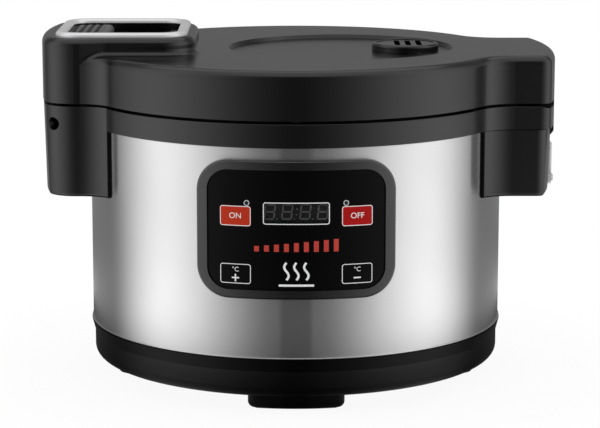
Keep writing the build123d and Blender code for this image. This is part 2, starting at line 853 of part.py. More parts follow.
def lid_cover():
    """Lid moulding: rounded top, dish, raised handle block with its well, ribs and bosses."""
    cover = raised(outline, lid_z, lid_top)
    cover = fillet(cover.faces().sort_by(Axis.Z)[-1].edges(), lid_shoulder)
    handle = raised(handle_plan(), lid_z, handle_top)
    cover += fillet(handle.faces().sort_by(Axis.Z)[-1].edges(), handle_round)
    inner_end = cover.edges().filter_by_position(Axis.Z, lid_top, lid_top).sort_by_distance(
        (-handle_inner_end, 0, lid_top)
    )[0]
    cover = fillet(inner_end, handle_cove)

    well = raised(trim_plan(trim_width - shell_wall), shelf_z - shell_wall, handle_top)
    well += raised(finger_plan(shell_wall), well_z - shell_wall, shelf_z)
    inside = raised(offset(outline, -shell_wall), lid_z, lid_top - shell_wall)
    inside += raised(offset(handle_plan(), -shell_wall), lid_z, handle_top - shell_wall)
    cover -= inside - well - hook_ribs() - lid_bosses()
    cover -= raised(trim_plan(trim_width), shelf_z, handle_top)
    cover -= raised(finger_plan(0), well_z, shelf_z)
    cover += grip_ribs()
    leg_hole = Pos(cam_x, 0, shelf_z - shell_wall) * peg(leg_radius + fit_gap, shell_wall)
    cover -= [Pos(0, side * leg_spread, 0) * leg_hole for side in (-1, 1)]
    cover -= rod_y(hook_pin_radius + pin_fit, hook_x, hook_z, hook_half_width + fit_gap + rib_thickness)

    dish = Pos(dish_offset, 0, dish_z)
    cover += dish * Pos(0, 0, -shell_wall) * peg(dish_radius + shell_wall, dish_depth + shell_wall / 2)
    cover -= dish * Cone(dish_radius - dish_slope, dish_radius, dish_depth, align=BOTTOM)
    cover -= Pos(vent_offset, 0, 0) * raised(Circle(vent_tube_radius + fit_gap), lid_z, lid_top)
    screw_bore = Pos(0, 0, lid_base_top) * peg(screw_hole, screw_length)
    return cover - [place * screw_bore for place in lid_screw_places()]


def grip_ribs():
    """Ribbed lip on the far wall of the finger well."""
    wall_x = -trim_inner_end - trim_width
    half = trim_half_width - trim_corner
    top = handle_top - grip_drop
    lip = block(wall_x - grip_width, wall_x + shell_wall / 2, half, top - grip_thickness, top)
    pitch = grip_width / grip_rib_count
    for step in range(grip_rib_count):
        lip += rod_y(grip_rib_radius, wall_x - pitch * (step + 0.5), top, half)
    return lip


def hook_ribs():
    """Two ribs inside the handle block that carry the hook pin."""
    low = hook_z - hook_boss_radius
    rib = block(hook_x - hook_boss_radius, button_x0, rib_thickness / 2, low, handle_top)
    reach = hook_half_width + fit_gap + rib_thickness / 2
    return [Pos(0, side * reach, 0) * rib for side in (-1, 1)]


def lid_screw_places():
    """Places of the screws that join the lid base to the lid cover."""
    return circle_points(lid_screw_circle, lid_screw_count, 90)


def lid_bosses():
    """Screw bosses inside the lid cover."""
    boss = Pos(0, 0, lid_base_top) * peg(lid_boss_radius, lid_top - lid_base_top)
    return [place * boss for place in lid_screw_places()]


def lid_base():
    """Lower lid plate with the hinge lug and the openings for hook and vent."""
    plan = offset(outline, -shell_wall - fit_gap)
    plate = raised(plan, lid_z, lid_base_top)
    lug = rod_y(lug_radius, hinge_x, hinge_z, lug_half_width)
    lug += block(hinge_x - lug_radius, hinge_x + lug_radius, lug_half_width, hinge_z, lid_z)
    lug &= raised(outline, hinge_z - lug_radius, lid_z)
    low = hinge_z - lug_radius
    lug -= block(hinge_x - lug_radius, hinge_x + lug_slot_radius, lug_slot_half_width, low, lid_z - lug_web)
    lug -= rod_y(hinge_pin_radius + pin_fit, hinge_x, hinge_z, lug_half_width)
    plate += lug
    plate -= block(hook_slot_x0, hook_slot_x1, latch_slot_half_width, lid_z, lid_base_top)
    plate -= Pos(vent_offset, 0, 0) * raised(Circle(vent_tube_radius + fit_gap), lid_z, lid_base_top)
    plate -= raised(Circle(knob_stem_radius + pin_fit), lid_z, lid_base_top)
    screw_bore = Pos(0, 0, lid_z) * peg(screw_hole, lid_base_thickness)
    return plate - [place * screw_bore for place in lid_screw_places()]


def lid_screws():
    """Screws up through the lid base."""
    return [place * Pos(0, 0, lid_z) * screw(screw_length) for place in lid_screw_places()]


def handle_trim():
    """Bright trim ring round the finger well."""
    ring = raised(trim_plan(0) - trim_plan(trim_width), handle_top, handle_top + trim_height)
    return fillet(ring.faces().sort_by(Axis.Z)[-1].edges(), trim_round)


def lid_insulation():
    """Insulation block under the dish, clear of the finger well and the vent tube."""
    plan = Pos(dish_offset, 0) * Circle(dish_radius)
    plan -= Pos(vent_offset, 0) * Circle(vent_tube_radius + vent_collar + fit_gap)
    plan -= Circle(knob_stem_radius + shell_wall)
    return raised(plan, lid_base_top + fit_gap, dish_z - shell_wall - fit_gap)


def lid_gasket():
    """Silicone gasket that meets the pot flange."""
    outer = pot_radius + pot_flange / 2
    gasket = tube(outer, outer - gasket_width, flange_top + fit_gap, lid_z)
    return fillet(gasket.faces().sort_by(Axis.Z)[0].edges(), gasket_width / 4)


def inner_lid():
    """Removable inner lid plate with a turned-up hem and steam holes."""
    top = inner_lid_z + inner_lid_thickness
    plate = raised(Circle(inner_lid_radius), inner_lid_z, top)
    inside = inner_lid_radius - inner_lid_thickness
    plate += tube(inner_lid_radius, inside, inner_lid_z, top + inner_lid_hem)
    plate -= raised(Circle(knob_stem_radius + pin_fit), inner_lid_z, top)
    hole = peg(steam_hole_radius, inner_lid_thickness)
    holes = [Pos(vent_offset, 0, inner_lid_z) * place * hole
             for place in circle_points(steam_hole_circle, steam_hole_count, 0)]
    return plate - holes


def inner_lid_seal():
    """Silicone seal between the inner lid and the lid base."""
    outer = inner_lid_radius - inner_lid_thickness - fit_gap
    return tube(outer, outer - inner_lid_seal_width, inner_lid_z + inner_lid_thickness, lid_z)


def inner_lid_knob():
    """Knob in the middle of the inner lid; its stem snaps into the lid base."""
    knob = raised(Circle(knob_radius), inner_lid_z - knob_height, inner_lid_z)
    knob = fillet(knob.edges().sort_by(Axis.Z)[0], knob_height / 3)
    return knob + raised(Circle(knob_stem_radius), inner_lid_z, lid_base_top)


def vent_tube():
    """Steam tube from the inner lid to the dish, with a collar under the dish floor."""
    low = inner_lid_z + inner_lid_thickness + fit_gap
    pipe = raised(Circle(vent_tube_radius), low, dish_z)
    collar = dish_z - shell_wall - fit_gap
    pipe += raised(Circle(vent_tube_radius + vent_collar), collar - shell_wall, collar)
    return Pos(vent_offset, 0, 0) * (pipe - raised(Circle(vent_tube_radius - vent_tube_wall), low, dish_z))


def vent_cap():
    """Lift-off steam cap: slotted top, skirt over the dish and a plug in the vent tube."""
    top = dish_z + vent_rise
    low = dish_z + fit_gap
    cap = raised(Circle(vent_radius), low, top)
    cap = fillet(cap.edges().sort_by(Axis.Z)[-1], vent_edge_round)
    cap -= raised(Circle(vent_radius - vent_top_rim), top - vent_top_dish, top)
    roof = top - vent_top_dish - vent_top_wall
    cap -= raised(Circle(vent_radius - vent_plug_wall), low, roof)
    plug = vent_tube_radius - vent_tube_wall - fit_gap
    cap += raised(Circle(plug) - Circle(plug - vent_plug_wall), dish_z - vent_plug_depth, roof)
    middle = (vent_slot_count - 1) / 2
    slot = Rot(0, 0, 90) * SlotOverall(vent_slot_length, vent_slot_width)
    for step in range(vent_slot_count):
        x = vent_slot_shift + (step - middle) * vent_slot_pitch
        cap -= raised(Pos(x, 0) * slot, roof, top)
    return Pos(vent_offset, 0, 0) * cap


def latch_button():
    """Ribbed push button in the handle; its two legs press the hook."""
    gap = trim_width + fit_gap
    half = trim_half_width - gap
    strip = Rectangle(button_length - fit_gap, 2 * half, align=(Align.MAX, Align.CENTER))
    plan = trim_plan(gap) & Pos(button_x1, 0) * strip
    cap = raised(plan, button_top - button_skirt, button_top)
    rounded = cap.faces().sort_by(Axis.Z)[-1].edges().sort_by(Axis.X)[-1]
    cap = fillet(rounded, button_edge_round)
    cap -= raised(offset(plan, -button_wall), button_top - button_skirt, button_top - button_wall)
    first = button_x1 - button_edge_round - button_rib_pitch / 2
    reach = half - trim_corner + trim_width
    rib_z = button_top - button_rib_radius / 3
    for step in range(button_rib_count):
        cap += rod_y(button_rib_radius, first - step * button_rib_pitch, rib_z, reach)
    leg = raised(Circle(leg_radius), hook_z + cam_height / 2 + fit_gap, button_top - button_wall)
    return cap + [Pos(cam_x, side * leg_spread, 0) * leg for side in (-1, 1)]


def button_springs():
    """Two compression springs between the well shelf and the button."""
    height = button_top - button_wall - shelf_z
    spring = Pos(0, 0, shelf_z) * coil(spring_radius, spring_wire, height, spring_turns)
    middle = (button_x0 + button_x1) / 2
    return [Pos(middle, side * spring_spread, 0) * spring for side in (-1, 1)]


def latch_hook():
    """Latch hook on its pin: a cam arm under the button legs and a barb under the striker."""
    barb_top = striker_z - striker_radius - hook_clearance
    barb_low = barb_top - hook_barb_height
    arm = hook_arm / 2
    side = make_face(Plane.XZ * Polyline(
        (hook_x - arm, hook_z),
        (hook_x - arm, barb_low),
        (hook_x + arm, barb_low),
        (hook_x + arm + hook_barb, barb_top - hook_arm / 3),
        (hook_x + arm + hook_barb, barb_top),
        (hook_x + arm, barb_top),
        (hook_x + arm, hook_z - cam_height / 2),
        (cam_x + cam_overrun, hook_z - cam_height / 2),
        (cam_x + cam_overrun, hook_z + cam_height / 2),
        (hook_x, hook_z + cam_height / 2),
        close=True,
    ))
    hook = extrude(side, hook_half_width, both=True)
    hook += rod_y(hook_boss_radius, hook_x, hook_z, hook_half_width)
    return hook - rod_y(hook_pin_radius + pin_fit, hook_x, hook_z, hook_half_width)


def hook_pin():
    """Steel pin of the latch hook."""
    return rod_y(hook_pin_radius, hook_x, hook_z, hook_half_width + fit_gap + rib_thickness)


def control_bezel():
    """Curved frame round the panel, with a ledge behind the panel's edge."""
    face = drum_radius + bezel_rise
    frame = panel_piece(0, panel_mid, bezel_width, bezel_height, bezel_corner, drum_radius + fit_gap, face)

    def on_face(edge):
        return all(abs(math.hypot(v.X, v.Y) - face) < pin_fit for v in edge.vertices())

    frame = fillet([e for e in frame.edges() if on_face(e)], bezel_edge_round)
    gap = 2 * fit_gap
    size = (panel_width + gap, panel_height + gap)
    recess = panel_back - pin_fit
    frame -= panel_piece(0, panel_mid, *size, panel_corner + fit_gap, recess, face + shell_wall)
    inner = (panel_width - 2 * panel_ledge, panel_height - 2 * panel_ledge)
    return frame - panel_piece(0, panel_mid, *inner, panel_corner - panel_ledge, liner_radius, face)


def key_places():
    """Angle and height of each key by its name."""
    return {
        "start_key": (-key_angle, key_upper_mid),
        "cancel_key": (key_angle, key_upper_mid),
        "temp_up_key": (-key_angle, key_lower_mid),
        "temp_down_key": (key_angle, key_lower_mid),
    }


def lens_planes():
    """Planes of the two indicator lenses."""
    return [facing(side * lens_angle, lens_mid) for side in (-1, 1)]


def control_panel():
    """Curved panel with openings for keys, display and indicators, and posts for the board."""
    panel = panel_piece(0, panel_mid, panel_width, panel_height, panel_corner, panel_back, panel_radius)
    gap = 2 * fit_gap
    outside = lid_radius + bezel_rise
    key_hole = (key_width + gap, key_height + gap, key_corner + fit_gap, liner_radius, outside)
    for angle, mid in key_places().values():
        panel -= panel_piece(angle, mid, *key_hole)
    display = (display_width + gap, display_height + gap, display_corner + fit_gap)
    panel -= panel_piece(0, display_mid, *display, liner_radius, outside)
    panel -= [radial_rod(plane, lens_radius + pin_fit, liner_radius, outside) for plane in lens_planes()]
    inside = tube(panel_back + panel_thickness / 2, liner_radius, base_z, lid_z)
    for x in (-panel_post_x, panel_post_x):
        for z in (panel_post_low, panel_post_high):
            post = Pos(x, board_y, z) * Rot(90, 0, 0) * peg(panel_post_radius, drum_radius)
            panel += post & inside
    return panel


def key(name):
    """Key cap with a retaining flange and a nub for its switch."""
    angle, mid = key_places()[name]
    cap = panel_piece(angle, mid, key_width, key_height, key_corner, key_back, panel_radius + key_proud)
    flange = (key_width + 2 * key_flange, key_height + 2 * key_flange, key_corner + key_flange)
    cap += panel_piece(angle, mid, *flange, key_back, key_back + key_flange_thickness)
    return cap + radial_rod(facing(angle, mid), key_nub_radius, key_back - key_nub_length, panel_radius)


def display_window():
    """Clear window in front of the display."""
    size = (display_width, display_height, display_corner)
    return panel_piece(0, display_mid, *size, panel_back, panel_radius)


def display_module():
    """Digit display on the control board."""
    return Pos(0, board_y - module_depth / 2, display_mid) * Box(module_width, module_depth, module_height)


def indicator_lenses():
    """Light pipes of the two indicators, from the board to the panel face."""
    reach = -board_y / math.cos(math.radians(lens_angle)) + lens_radius
    return [radial_rod(plane, lens_radius, reach, panel_radius) for plane in lens_planes()]


def control_board():
    """Flat control board behind the panel."""
    board = Box(board_width, board_thickness, board_height)
    return Pos(0, board_y + board_thickness / 2, panel_mid) * board


def tact_switches():
    """Switches behind the four keys."""
    body = Box(switch_size, switch_height, switch_size)
    return [Pos(key_back * math.sin(math.radians(angle)), board_y - switch_height / 2, mid) * body
            for angle, mid in key_places().values()]


def power_board():
    """Power board in the base."""
    low = base_z + power_board_rise
    return Pos(0, 0, low) * Box(power_board_length, power_board_width, board_thickness, align=BOTTOM)


def board_posts():
    """Posts between the bottom plate and the power board."""
    post = peg(post_radius, power_board_rise)
    x = power_board_length / 2 - post_inset
    y = power_board_width / 2 - post_inset
    return [Pos(side_x * x, side_y * y, base_z) * post for side_x in (-1, 1) for side_y in (-1, 1)]


def power_parts():
    """Transformer and relay on the power board."""
    top = base_z + power_board_rise + board_thickness
    transformer = Box(transformer_length, transformer_width, transformer_height, align=BOTTOM)
    relay = Box(relay_size, relay_size, relay_size, align=BOTTOM)
    return [Pos(-part_spacing, 0, top) * transformer, Pos(part_spacing, 0, top) * relay]


def inlet_block(margin):
    """Body of the mains inlet, grown by a margin for its hole in the base."""
    size = (inlet_width + 2 * margin, inlet_depth, inlet_height + 2 * margin)
    middle = (0, inlet_face - inlet_depth / 2, inlet_z + inlet_height / 2)
    return Pos(*middle) * Box(*size)


def power_inlet():
    """Mains inlet at the back of the base with a recessed socket."""
    body = inlet_block(0)
    body = fillet(body.faces().sort_by(Axis.Y)[-1].edges(), inlet_round)
    middle = inlet_z + inlet_height / 2
    mouth = Plane((0, inlet_face - socket_depth, middle), x_dir=(-1, 0, 0), z_dir=(0, 1, 0))
    body -= extrude(mouth * RectangleRounded(socket_width, socket_height, socket_corner), socket_depth)
    return body - [place * blade(pin_fit) for place in blade_places()]


def blade(margin):
    """Contact blade of the inlet."""
    size = (blade_thickness + 2 * margin, blade_length + blade_tail, blade_width + 2 * margin)
    return Pos(0, (blade_length - blade_tail) / 2, 0) * Box(*size)


def blade_places():
    """Places of the three blades on the socket floor."""
    floor = inlet_face - socket_depth
    middle = inlet_z + inlet_height / 2
    places = []
    for step in (-1, 0, 1):
        rise = blade_offset if step == 0 else -blade_offset
        places.append(Pos(step * blade_pitch, floor, middle + rise))
    return places


def inlet_pins():
    """Three contact blades in the inlet."""
    return [place * blade(0) for place in blade_places()]


outline = body_plan(lid_radius, hinge_reach)

nodes = {
    "base_shell": base_shell(),
    "bottom_plate": bottom_plate(),
    "base_screws": base_screws(),
    "foot_front": foot(0),
    "foot_right": foot(90),
    "foot_back": foot(180),
    "foot_left": foot(270),
    "foot_pads": foot_pads(),
    "outer_drum": outer_drum(),
    "rim_ring": rim_ring(),
    "latch_housing": latch_housing(),
    "latch_striker": latch_striker(),
    "ear_screws": ear_screws(),
    "hinge_housing": hinge_housing(),
    "hinge_pin": hinge_pin(),
    "hinge_spring": hinge_spring(),
    "dew_cup": dew_cup(),
    "inner_pot": inner_pot(),
    "liner": liner(),
    "heating_plate": heating_plate(),
    "side_heater": side_heater(),
    "insulation_sleeve": insulation_sleeve(),
    "thermal_fuse": thermal_fuse(),
    "sensor_cap": sensor_cap(),
    "sensor_holder": sensor_holder(),
    "sensor_spring": sensor_spring(),
    "lid_cover": lid_cover(),
    "lid_base": lid_base(),
    "lid_screws": lid_screws(),
    "handle_trim": handle_trim(),
    "lid_insulation": lid_insulation(),
    "lid_gasket": lid_gasket(),
    "inner_lid": inner_lid(),
    "inner_lid_seal": inner_lid_seal(),
    "inner_lid_knob": inner_lid_knob(),
    "vent_tube": vent_tube(),
    "vent_cap": vent_cap(),
    "latch_button": latch_button(),
    "button_springs": button_springs(),
    "latch_hook": latch_hook(),
    "hook_pin": hook_pin(),
    "control_bezel": control_bezel(),
    "control_panel": control_panel(),
    "display_window": display_window(),
    "display_module": display_module(),
    "indicator_lenses": indicator_lenses(),
    "control_board": control_board(),
    "tact_switches": tact_switches(),
    "power_board": power_board(),
    "board_posts": board_posts(),
    "power_parts": power_parts(),
    "power_inlet": power_inlet(),
    "inlet_pins": inlet_pins(),
}
nodes.update({name: key(name) for name in key_places()})

os.makedirs("parts", exist_ok=True)
for name, shape in nodes.items():
    solids = shape if isinstance(shape, list) else [shape]
    export_step(Compound(children=[s for piece in solids for s in piece.solids()]), f"parts/{name}.step")
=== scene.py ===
import json
import math

import bmesh
import bpy
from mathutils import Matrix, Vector


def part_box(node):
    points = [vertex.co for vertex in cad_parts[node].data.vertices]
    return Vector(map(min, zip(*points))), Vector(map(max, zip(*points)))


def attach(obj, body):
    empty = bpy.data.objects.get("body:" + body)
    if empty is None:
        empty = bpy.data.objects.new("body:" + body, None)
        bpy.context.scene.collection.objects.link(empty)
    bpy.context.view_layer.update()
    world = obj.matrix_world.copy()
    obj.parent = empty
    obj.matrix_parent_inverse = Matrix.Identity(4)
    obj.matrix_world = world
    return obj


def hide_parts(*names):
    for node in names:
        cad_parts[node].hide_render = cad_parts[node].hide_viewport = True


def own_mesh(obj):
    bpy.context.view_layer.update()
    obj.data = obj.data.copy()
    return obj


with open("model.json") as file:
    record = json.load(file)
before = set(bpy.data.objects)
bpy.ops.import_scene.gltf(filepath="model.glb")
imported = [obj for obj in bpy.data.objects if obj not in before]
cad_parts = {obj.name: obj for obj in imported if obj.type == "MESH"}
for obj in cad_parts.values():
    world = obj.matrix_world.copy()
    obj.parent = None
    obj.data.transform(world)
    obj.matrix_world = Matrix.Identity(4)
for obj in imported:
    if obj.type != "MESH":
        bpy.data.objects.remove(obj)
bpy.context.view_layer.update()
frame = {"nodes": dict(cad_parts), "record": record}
nodes = frame["nodes"]
slots = {row["node"]: row["material_slot"] for row in frame["record"]["subparts"]}
scene = bpy.context.scene
MM = 0.001


def middle(node):
    """Height of the middle of a node, in millimetres."""
    low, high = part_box(node)
    return (low[2] + high[2]) / 2 / MM


# Camera: lens in millimetres, place in metres, and the photograph's width and sideways shift in pixels.
FOCAL = 140.64
SENSOR_WIDTH = 36.0
CAMERA_DISTANCE = 2.2756
CAMERA_HEIGHT = 0.5750
CAMERA_TURN = math.radians(0.2)
CAMERA_PITCH = math.radians(10.523)
CAMERA_REACH = 60.0
PHOTO_WIDTH = 600
PHOTO_SHIFT = 4.4

# Latch button: sizes in metres, and for the painted shade in its grooves, the share of colour left there and
# the soft edge of that shade as a share of half the rib width.
BUTTON_ROUND = 5.0 * MM
BUTTON_RIB_PITCH = 7.4 * MM
BUTTON_RIB_HALF = 1.7 * MM
GROOVE_SHADE_SHARE = 0.03
GROOVE_SHADE_EDGE = 0.3

# Print on the panel and the keys, in millimetres and in degrees about the drum axis.
PANEL_RADIUS = -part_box("control_panel")[0][1] / MM
PRINT_RISE = 0.06
KEY_PROUD = 0.3
KEY_ANGLE = 15.6
KEY_WIDTH = 29.0
KEY_HEIGHT = 18.5
KEY_CORNER = 2.5
KEY_LINE = 0.65
KEY_LINE_INSET = 0.45
LENS_ANGLE = 12.65
LENS_RING_RADIUS = 2.25
LENS_RING_LINE = 0.5
DISPLAY_MID = middle("display_window")
DISPLAY_LINE = 0.8
DISPLAY_LINE_OUTSET = 0.2
DISPLAY_LINE_CORNER = 1.9

# Words and signs on the keys, in millimetres.
WORD_SIZE = 7.4
WORD_STEPS = 4
WORD_WELD_SHARE = 1e-4
UNIT_SIZE = 6.0
UNIT_RISE = 3.8
SIGN_DROP = 3.8
SIGN_HALF = 3.4
SIGN_GAP = 0.8
SIGN_LINE = 1.3

# Digits on the face of the display module, in millimetres.
MODULE_FACE = -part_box("display_module")[0][1] / MM
DIGIT_WIDTH = 8.6
DIGIT_HEIGHT = 13.2
DIGIT_PLACES = (-24.0, -8.2, 8.2, 24.0)
DIGIT_SLANT = 0.12
DIGIT_RISE = 0.7
DIGIT_LINE = 1.5
DIGIT_END_SHARE = 0.3
POINT_RADIUS = 0.75
POINT_GAP = 2.2
COLON_RADIUS = 0.8
COLON_SHIFT = 0.3
COLON_RISE = 2.6
DOT_SIDES = 12

# Level bars and heat sign, in millimetres; the drops are below the middle of the display.
LEVEL_DROP = 30.0
LEVEL_COUNT = 9
LEVEL_PITCH = 9.0
LEVEL_WIDTH = 4.4
LEVEL_LOWEST = 5.0
LEVEL_GAIN = 0.8
LEVEL_FOOT = -5.0
HEAT_DROP = 55.0
HEAT_LINE = 2.0
HEAT_BAR_HALF = 16
HEAT_BAR_FOOT = -11.0
WAVE_PLACES = (-9.0, 0.0, 9.0)
WAVE_SWING = 2.0
WAVE_HEIGHT = 16.0
WAVE_FOOT = -6.0
WAVE_STEPS = 24

# Materials: streaks per metre along X, Y and Z, the slow drift between two tones, and shared colours.
DRUM_STREAK = (14, 14, 5200)
SHEET_STREAK = (60, 60, 2600)
DRIFT_STOPS = (0.3, 0.7)
DRIFT_DETAIL = 3.0
BUMP_STRENGTH = 0.6
BLACK = (0.0006, 0.0006, 0.0006)
PANEL_TONE = (0.0014, 0.0014, 0.0015)
WHITE = (1, 1, 1, 1)

# Studio, in metres: world, floor, and each lamp's place, size and power in watts.
WORLD_FILL = 0.62
FLOOR_HALF = 12.0
FLOOR_TONE = (0.82, 0.82, 0.82, 1)
SHADOW_NEAR = 0.20
SHADOW_FAR = 0.45
SHADOW_SHARE = 0.93
LAMP_AIM = (0.0, 0.0, 0.18)
LAMPS = {
    "left_soft": ((-1.7, -0.35, 0.9), (1.3, 1.5), 9.0),
    "right_soft": ((1.7, -0.35, 0.9), (1.3, 1.5), 9.0),
    "top_soft": ((0.0, 0.1, 2.1), (1.8, 1.6), 9.0),
    "front_soft": ((0.0, -2.0, 1.6), (1.6, 1.0), 5.0),
}

# Reflection cards: their form in metres, light by degrees to either side of the front, and light by distance
# from the drum axis. The front is dim with a dark strip in it, the sides are bright and the back is dim.
CARD_RADIUS = 3.0
CARD_TOP = 3.2
CARD_INNER = 0.12
CARD_FLOOR = 0.0008
CARD_SIDES = 120
CARD_PEAK = 1.3
CARD_STEPS = ((8, 0.09), (9, 0.15), (80, 1.1), (130, 0.2))
DRUM_RADIUS = 0.2
REACH_PEAK = 2.8
REACH_END = 3.2
REACH_STEPS = (
    (0.0, 0.12), (0.3, 0.28), (0.4, 0.28), (0.44, 2.6), (0.52, 1.8), (0.7, 0.96), (1.4, 1.32),
    (REACH_END, 1.18),
)


# Node helpers


def new_material(name):
    """Node material with a Principled shader."""
    made = bpy.data.materials.new(name)
    made.use_nodes = True
    return made, made.node_tree, made.node_tree.nodes["Principled BSDF"]


def add(tree, kind, **values):
    """Node with its properties and sockets set by name; an underscore stands for a socket name's space."""
    node = tree.nodes.new(kind)
    for key, value in values.items():
        socket = key.replace("_", " ")
        if socket in node.inputs:
            node.inputs[socket].default_value = value
        else:
            setattr(node, key, value)
    return node


def calc(tree, operation, *terms):
    """Math node on numbers and sockets; gives its result socket."""
    node = add(tree, "ShaderNodeMath", operation=operation)
    for socket, term in zip(node.inputs, terms):
        if isinstance(term, float):
            socket.default_value = term
        else:
            tree.links.new(term, socket)
    return node.outputs[0]


def mapped(tree, source, **values):
    """Socket that maps a source socket from one range to another."""
    node = add(tree, "ShaderNodeMapRange", **values)
    tree.links.new(source, node.inputs["Value"])
    return node.outputs["Result"]


def object_axis(tree, axis):
    """Socket of one object coordinate, in metres."""
    apart = add(tree, "ShaderNodeSeparateXYZ")
    tree.links.new(add(tree, "ShaderNodeTexCoord").outputs["Object"], apart.inputs[0])
    return apart.outputs[axis]


def noise(tree, scale, stretch=(1, 1, 1), detail=2.0):
    """Noise in object metres, stretched per axis; gives its factor socket."""
    place = add(tree, "ShaderNodeTexCoord")
    mapping = add(tree, "ShaderNodeMapping", Scale=stretch)
    texture = add(tree, "ShaderNodeTexNoise", Scale=scale, Detail=detail)
    tree.links.new(place.outputs["Object"], mapping.inputs["Vector"])
    tree.links.new(mapping.outputs["Vector"], texture.inputs["Vector"])
    return texture.outputs["Fac"]


def ramp(tree, factor, steps, interpolation="LINEAR"):
    """Colour socket that runs through (position, colour) steps by a factor socket."""
    node = add(tree, "ShaderNodeValToRGB")
    node.color_ramp.interpolation = interpolation
    stops = node.color_ramp.elements
    while len(stops) < len(steps):
        stops.new(0.5)
    for stop, (position, colour) in zip(stops, steps):
        stop.position = position
        stop.color = (*colour, 1)
    tree.links.new(factor, node.inputs["Fac"])
    return node.outputs["Color"]


def greys(steps, peak):
    """Steps of a ramp whose (position, level) pairs become greys, as shares of a peak level."""
    return [(position, (level / peak, level / peak, level / peak)) for position, level in steps]


# Materials


def tones(level, share):
    """Two tones a share below and above a colour."""
    return [tuple(channel * (1 + side * share) for channel in level) for side in (-1, 1)]


def finish(name, level, rough, share=0.12, metal=0.0, mottle=14.0, grain=1400.0, depth=0.02,
           stretch=(1, 1, 1), **sockets):
    """Slowly drifting tone; a fine grain sets the roughness and a bump, whose depth is in millimetres."""
    made, tree, shader = new_material(name)
    drift = noise(tree, mottle, detail=DRIFT_DETAIL)
    fine = noise(tree, grain, stretch)
    colour = ramp(tree, drift, list(zip(DRIFT_STOPS, tones(level, share))))
    tree.links.new(colour, shader.inputs["Base Color"])
    roughness = mapped(tree, fine, To_Min=rough[0], To_Max=rough[1])
    tree.links.new(roughness, shader.inputs["Roughness"])
    bump = add(tree, "ShaderNodeBump", Strength=BUMP_STRENGTH, Distance=depth * MM)
    tree.links.new(fine, bump.inputs["Height"])
    tree.links.new(bump.outputs["Normal"], shader.inputs["Normal"])
    shader.inputs["Metallic"].default_value = metal
    for key, value in sockets.items():
        shader.inputs[key.replace("_", " ")].default_value = value
    return made


def brush_round(material):
    """Turn a metal's stretched highlight round the drum axis."""
    tree = material.node_tree
    tangent = add(tree, "ShaderNodeTangent", direction_type="RADIAL", axis="Z")
    tree.links.new(tangent.outputs["Tangent"], tree.nodes["Principled BSDF"].inputs["Tangent"])


def paint_groove_shade(material, first_rib):
    """Paint shade into the grooves beside the button's ribs, counted from the first rib towards -X, by
    scaling down the base colour there.
    """
    tree = material.node_tree
    behind = calc(tree, "SUBTRACT", object_axis(tree, "X"), first_rib)
    inside = calc(tree, "MINIMUM", behind, 0.0)
    beside = calc(tree, "PINGPONG", inside, BUTTON_RIB_PITCH / 2)
    # Painted shade: the colour falls to a small share in each groove, with a soft edge.
    groove_shade_level = mapped(tree, beside, interpolation_type="SMOOTHSTEP",
                   From_Min=BUTTON_RIB_HALF * (1 - GROOVE_SHADE_EDGE), From_Max=BUTTON_RIB_HALF * (1 + GROOVE_SHADE_EDGE),
                   To_Min=1.0, To_Max=GROOVE_SHADE_SHARE)
    shaded_colour = add(tree, "ShaderNodeVectorMath", operation="SCALE")
    base = tree.nodes["Principled BSDF"].inputs["Base Color"]
    tree.links.new(base.links[0].from_socket, shaded_colour.inputs[0])
    tree.links.new(groove_shade_level, shaded_colour.inputs["Scale"])
    tree.links.new(shaded_colour.outputs["Vector"], base)


